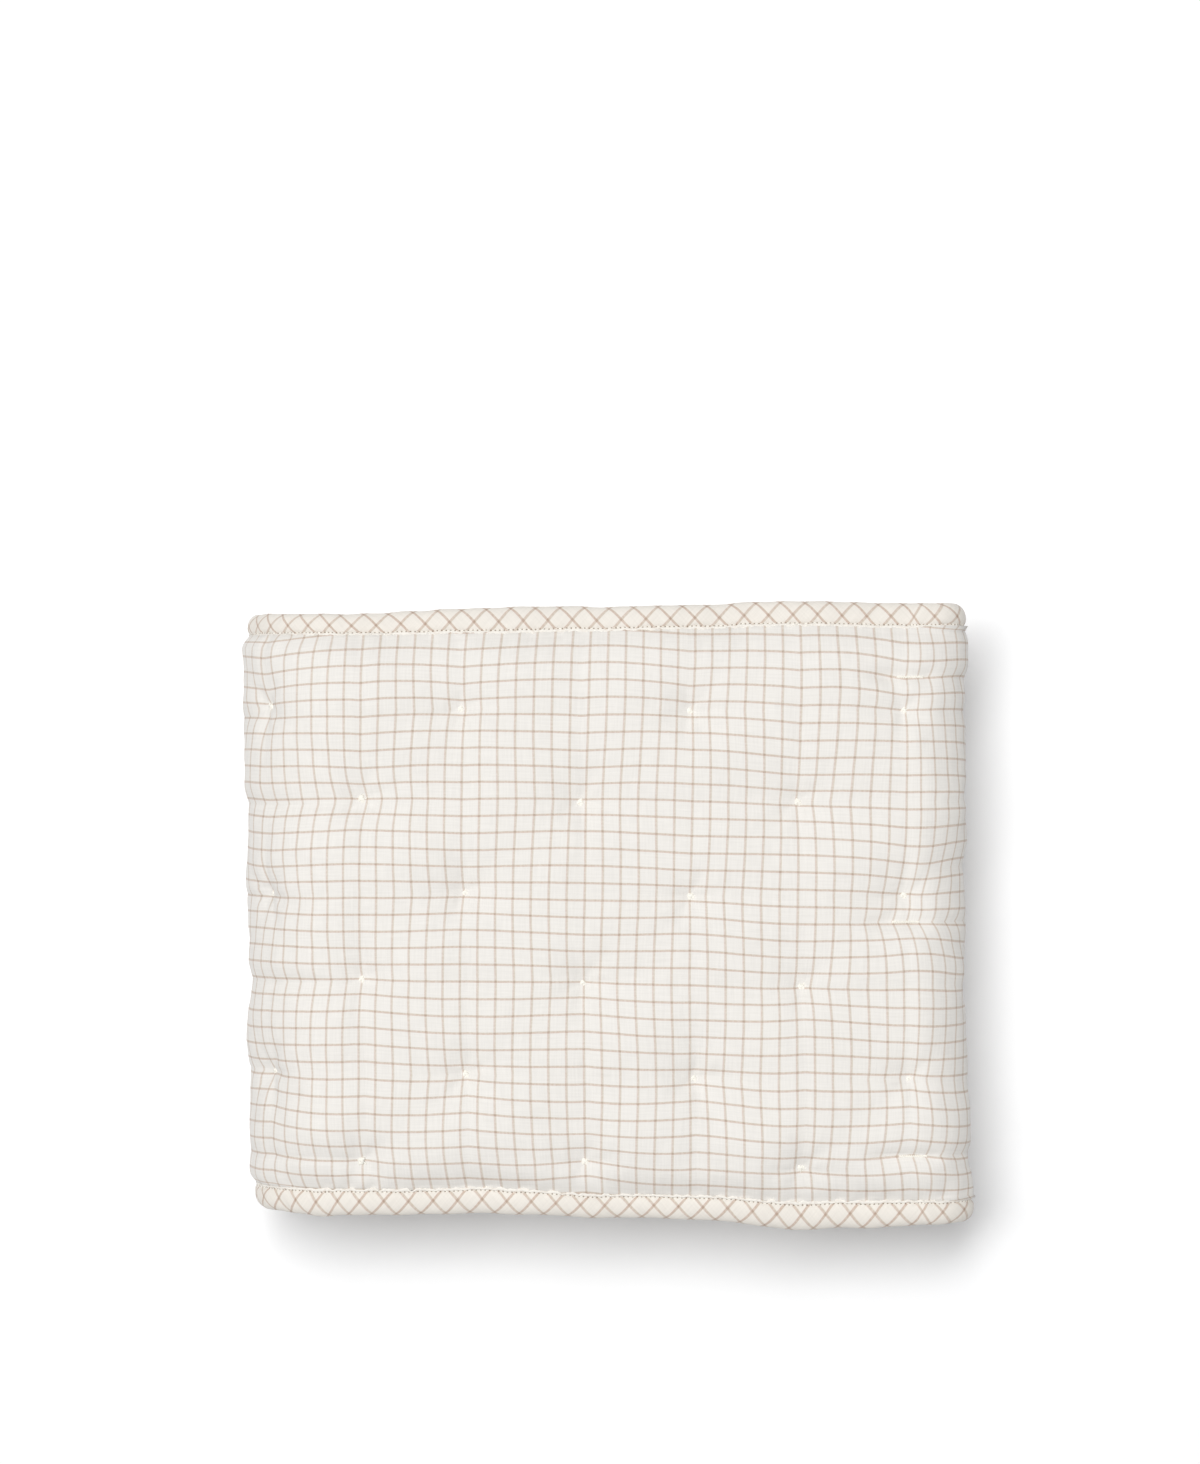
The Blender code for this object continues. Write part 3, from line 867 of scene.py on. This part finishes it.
def newGroup(name, inputs, outputs):
    # inputs and outputs give each socket's name and kind
    group = bpy.data.node_groups.new(name, "ShaderNodeTree")
    for way, sockets in (("INPUT", inputs), ("OUTPUT", outputs)):
        for label, kind in sockets.items():
            group.interface.new_socket(name=label, in_out=way, socket_type="NodeSocket" + kind)
    return group, addNode(group, "NodeGroupInput").outputs, addNode(group, "NodeGroupOutput").inputs


def addNode(tree, kind, inputs=None, **settings):
    node = tree.nodes.new(kind)
    for key, value in settings.items():
        setattr(node, key, value)
    for key, value in (inputs or {}).items():
        if isinstance(value, bpy.types.NodeSocket):
            tree.links.new(value, node.inputs[key])
        else:
            node.inputs[key].default_value = value
    return node


def mathNode(tree, operation, *values):
    return addNode(tree, "ShaderNodeMath", dict(enumerate(values)), operation=operation).outputs[0]


def times(tree, first, second):
    return mathNode(tree, "MULTIPLY", first, second)


def minus(tree, first, second):
    return mathNode(tree, "SUBTRACT", first, second)


def remap(tree, value, low, high, first=0.0, last=1.0, **settings):
    # low becomes first, and high becomes last
    spans = {"Value": value, "From Min": low, "From Max": high, "To Min": first, "To Max": last}
    return addNode(tree, "ShaderNodeMapRange", spans, **settings).outputs[0]


def noiseNode(tree, place, scale, detail, distortion=0.0):
    inputs = {"Vector": place, "Scale": scale, "Detail": detail, "Distortion": distortion}
    return addNode(tree, "ShaderNodeTexNoise", inputs).outputs[0]


def bumpNode(tree, strength, distance, height, **inputs):
    inputs.update({"Strength": strength, "Distance": distance, "Height": height})
    return addNode(tree, "ShaderNodeBump", inputs).outputs[0]


def mixColour(tree, share, first, second, blend="MIX"):
    inputs = {0: share, 6: first, 7: second}    # 6 and 7 are its two colours, and output 2 their mix
    return addNode(tree, "ShaderNodeMix", inputs, data_type="RGBA", blend_type=blend).outputs[2]


def tinted(tree, colour, value, low, high, shades):
    # the colour, darker and lighter as the value goes from low to high
    shade = remap(tree, value, low, high, *shades)
    grey = addNode(tree, "ShaderNodeCombineColor", {0: shade, 1: shade, 2: shade}).outputs[0]
    return mixColour(tree, 1.0, colour, grey, "MULTIPLY")


def lineMask(tree, place, pitch, width, edge):
    # 1 on a line that comes once in each pitch, with soft edges
    share = mathNode(tree, "FRACT", mathNode(tree, "DIVIDE", place, pitch))
    distance = times(tree, mathNode(tree, "ABSOLUTE", minus(tree, share, 0.5)), pitch)
    half = times(tree, width, 0.5)
    low = minus(tree, half, edge)
    high = mathNode(tree, "ADD", half, edge)
    return remap(tree, distance, low, high, 1.0, 0.0, interpolation_type="SMOOTHSTEP")


def twoYarns(tree, place, pitch, colour):
    # one side of a line is a pinkish yarn, the other a yellowish one
    share = mathNode(tree, "FRACT", mathNode(tree, "DIVIDE", place, pitch))
    side = remap(tree, share, low=0.47, high=0.53)
    tone = mixColour(tree, side, (*finish["pinkYarn"], 1), (*finish["yellowYarn"], 1))
    return mixColour(tree, 1.0, colour, tone, "MULTIPLY")


def windowpaneGroup():
    # a windowpane check on cloth coordinates in metres: u along the strip, v across
    inputs = {"Cloth": "Vector", "Ground": "Color", "Pitch": "Float"}
    for way in ("Across", "Along"):
        inputs.update({way + " Width": "Float", way + " Line": "Color"})
    group, start, end = newGroup("windowpaneCheck", inputs, {"Color": "Color"})
    # the yarns are not quite straight
    wander = minus(group, noiseNode(group, start["Cloth"], scale=60.0, detail=2.0), 0.5)
    shift = times(group, wander, finish["yarnWander"])
    # coloured yarns dip under the plain ones that cross them, so a line is never solid
    noise = noiseNode(group, start["Cloth"], scale=900.0, detail=1.0)
    worn = remap(group, noise, low=0.35, high=0.65, first=0.72)
    split = addNode(group, "ShaderNodeSeparateXYZ", {0: start["Cloth"]})
    colour = start["Ground"]
    masks = []
    for axis, way in enumerate(("Across", "Along")):
        line = finish["line" + way]
        place = mathNode(group, "ADD", split.outputs[axis], shift)
        mask = times(group, lineMask(group, place, start["Pitch"], start[way + " Width"], line["edge"]), worn)
        yarns = twoYarns(group, place, start["Pitch"], start[way + " Line"])
        colour = mixColour(group, times(group, mask, line["share"]), colour, yarns)
        masks.append(mask)
    crossing = times(group, times(group, *masks), finish["crossingShare"])
    darker = mixColour(group, crossing, colour, (*finish["crossing"], 1), "MULTIPLY")
    group.links.new(darker, end["Color"])
    return group


def weaveGroup():
    # plain weave: a height for bump, and faint slubs along both yarns
    group, start, end = newGroup("plainWeave", {"Cloth": "Vector", "Yarn": "Float"},
                                 {"Height": "Float", "Slubs": "Float"})
    split = addNode(group, "ShaderNodeSeparateXYZ", {0: start["Cloth"]})
    turns = mathNode(group, "DIVIDE", math.pi, start["Yarn"])
    waves = [mathNode(group, "SINE", times(group, split.outputs[axis], turns)) for axis in (0, 1)]
    weave = times(group, *waves)
    slubs = []
    for stretch in finish["slubStretch"]:
        mapping = addNode(group, "ShaderNodeMapping", {"Vector": start["Cloth"], "Scale": stretch})
        slubs.append(noiseNode(group, mapping.outputs[0], scale=1.0, detail=2.0))
    slub = times(group, mathNode(group, "ADD", *slubs), 0.5)
    height = mathNode(group, "ADD", times(group, weave, finish["weaveShare"]), slub)
    group.links.new(height, end["Height"])
    group.links.new(slub, end["Slubs"])
    return group


def sewnLipGroup():
    # the folded lip of a binding shows few lines, and a row of needle holes runs along it, each painted as a
    # dark dot of shade
    inputs = {"Cloth": "Vector", "Color": "Color", "Plain": "Color", "Around": "Float", "Pitch": "Float"}
    group, start, end = newGroup("sewnLip", inputs, {"Color": "Color"})
    split = addNode(group, "ShaderNodeSeparateXYZ", {0: start["Cloth"]})
    fromLip = mathNode(group, "MINIMUM", split.outputs[1], minus(group, start["Around"], split.outputs[1]))
    low = finish["lip"] - finish["lipEdge"]
    high = finish["lip"] + finish["lipEdge"]
    lip = remap(group, fromLip, low, high, finish["lipShare"], 0.0)
    plain = mixColour(group, lip, start["Color"], start["Plain"])
    turns = mathNode(group, "ADD", mathNode(group, "DIVIDE", split.outputs[0], start["Pitch"]), 0.5)
    along = times(group, minus(group, mathNode(group, "FRACT", turns), 0.5), start["Pitch"])
    # painted shade: a dark dot at each needle hole, where the hole would lie in shadow
    aside = minus(group, fromLip, finish["holeLine"])
    squares = [times(group, away, away) for away in (along, aside)]
    far = mathNode(group, "SQRT", mathNode(group, "ADD", *squares))
    hole = remap(group, far, *finish["hole"], finish["holeShadeShare"], 0.0)
    holeShaded = mixColour(group, hole, plain, (*finish["holeShadeColour"], 1))
    group.links.new(holeShaded, end["Color"])
    return group


def newMaterial(name, **values):
    material = bpy.data.materials.new(name)
    material.use_nodes = True
    shader = material.node_tree.nodes["Principled BSDF"]
    for label, value in values.items():
        shader.inputs[label].default_value = value
    return material, material.node_tree, shader.inputs


def checkMaterial(name, check, weave, sewn=None):
    look = finish[name]
    material, tree, shader = newMaterial(name, **{
        "Roughness": 0.88,
        "Specular IOR Level": 0.18,
        "Sheen Weight": 0.12,
        "Sheen Roughness": 0.5,
    })
    uv = addNode(tree, "ShaderNodeUVMap", uv_map="cloth").outputs[0]
    place = addNode(tree, "ShaderNodeMapping", {
        "Vector": uv,
        "Location": (*look["shift"], 0),
        "Rotation": (0, 0, look["turn"]),
    }).outputs[0]
    colour = addNode(tree, "ShaderNodeGroup", {
        "Cloth": place,
        "Pitch": finish["checkPitch"],
        "Across Width": finish["lineAcross"]["width"],
        "Along Width": finish["lineAlong"]["width"],
        "Ground": (*look["ground"], 1),
        "Along Line": (*look["along"], 1),
        "Across Line": (*look["across"], 1),
    }, node_tree=check).outputs["Color"]
    woven = addNode(tree, "ShaderNodeGroup", {"Cloth": place, "Yarn": finish["yarn"]}, node_tree=weave)
    if sewn:
        colour = addNode(tree, "ShaderNodeGroup", {
            "Cloth": uv,
            "Color": colour,
            "Plain": (*finish["lipColour"], 1),
            "Around": facesAround(),
            "Pitch": bindingMake["stitchPitch"],
        }, node_tree=sewn).outputs["Color"]
    colour = tinted(tree, colour, woven.outputs["Slubs"], low=0.35, high=0.65, shades=finish["slubTint"])
    tree.links.new(colour, shader["Base Color"])
    # small creases that the mesh is too coarse for, and the weave over them
    noise = noiseNode(tree, uv, scale=150.0, detail=3.0, distortion=0.4)
    creases = bumpNode(tree, look["creases"], distance=0.0008, height=noise)
    fine = bumpNode(tree, strength=0.35, distance=0.00006, height=woven.outputs["Height"], Normal=creases)
    tree.links.new(fine, shader["Normal"])
    return material


def threadMaterial():
    material, tree, shader = newMaterial("creamThread", **{"Roughness": 0.7, "Sheen Weight": 0.2})
    place = addNode(tree, "ShaderNodeTexCoord").outputs["Object"]
    noise = noiseNode(tree, place, scale=1800.0, detail=2.0)
    colour = tinted(tree, (*finish["thread"], 1), noise, low=0.3, high=0.7, shades=finish["threadTint"])
    tree.links.new(colour, shader["Base Color"])
    tree.links.new(bumpNode(tree, strength=0.5, distance=0.0001, height=noise), shader["Normal"])
    return material


# The studio: a pale floor, soft light from the upper left, and the camera straight above
studio = {
    "topZ": 0.094,
    "lookAt": (-0.0034, 0.0894),
    "height": 1.80,
    "viewSpan": 0.7188,         # what the picture's long side takes in at the top of the pack
    "sensor": 36.0,
    "floorSize": 12.0,
    "floorColour": (0.840, 0.845, 0.852),
    "floorGlow": 0.135,
    "keySize": (3.9, 1.7),
    "keyWay": (0.67, 0.74, 0.0),            # long softboxes, from the left round to the top
    "floorKey": {"place": (-1.19, 1.63, 5.8), "power": 346.0},
    "clothKey": {"place": (-0.94, 0.72, 5.8), "power": 312.0},
    "skyStrength": 0.270,
}


def makeKey(name, lit):         # a softbox, and the objects that it lights
    key = bpy.data.lights.new(name, "AREA")
    key.shape = "RECTANGLE"
    key.size, key.size_y = studio["keySize"]
    key.energy = studio[name]["power"]
    lamp = bpy.data.objects.new(name, key)
    place = Vector(studio[name]["place"])
    lamp.matrix_world = standOn(place, Vector(studio["keyWay"]), place.normalized())
    bpy.context.scene.collection.objects.link(lamp)
    lamp.light_linking.receiver_collection = bpy.data.collections.new(name)
    for piece in lit:
        lamp.light_linking.receiver_collection.objects.link(piece)


def makeStudio():
    bm = bmesh.new()
    bmesh.ops.create_grid(bm, x_segments=1, y_segments=1, size=studio["floorSize"] / 2)
    floor = meshObject("studioFloor", bm)
    floor.data.materials.append(newMaterial("studioFloor", **{
        "Base Color": (*studio["floorColour"], 1),
        "Emission Color": (1, 1, 1, 1),
        "Emission Strength": studio["floorGlow"],
        "Roughness": 0.9,
        "Specular IOR Level": 0.0,
    })[0])
    scene = bpy.context.scene
    world = bpy.data.worlds.new("studioSky")
    world.use_nodes = True
    sky = world.node_tree.nodes["Background"]
    sky.inputs["Color"].default_value = (1, 1, 1, 1)
    sky.inputs["Strength"].default_value = studio["skyStrength"]
    scene.world = world
    makeKey("floorKey", [floor])
    lens = bpy.data.cameras.new("camera")
    lens.sensor_width = studio["sensor"]
    lens.lens = studio["sensor"] * studio["height"] / studio["viewSpan"]
    camera = bpy.data.objects.new("camera", lens)
    camera.location = (*studio["lookAt"], studio["topZ"] + studio["height"])
    scene.collection.objects.link(camera)
    scene.camera = camera
    scene.view_settings.view_transform = "Standard"
    scene.view_settings.look = "None"
    print("studio set up")


def dress(piece, material, nodes=()):
    piece.data.materials.append(material)
    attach(piece, body)
    if nodes:
        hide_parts(*nodes)


def main():
    makeStudio()
    check = windowpaneGroup()
    weave = weaveGroup()
    checkCotton = checkMaterial("checkCotton", check, weave)
    biasCotton = checkMaterial("biasCotton", check, weave, sewnLipGroup())
    thread = threadMaterial()
    quilt = makeQuilt()
    pieces = [quilt]
    dress(quilt, checkCotton, ["quilt"])
    for name, side, node in (("biasFar", 1, "binding_far"), ("biasNear", -1, "binding_near")):
        binding = makeBinding(name, side)
        dress(binding, biasCotton, [node])
        pieces.append(binding)
    for piece in (makeKnots(quilt), makeTacks(quilt), makeStitches()):
        dress(piece, thread)
        pieces.append(piece)
    makeKey("clothKey", pieces)


main()
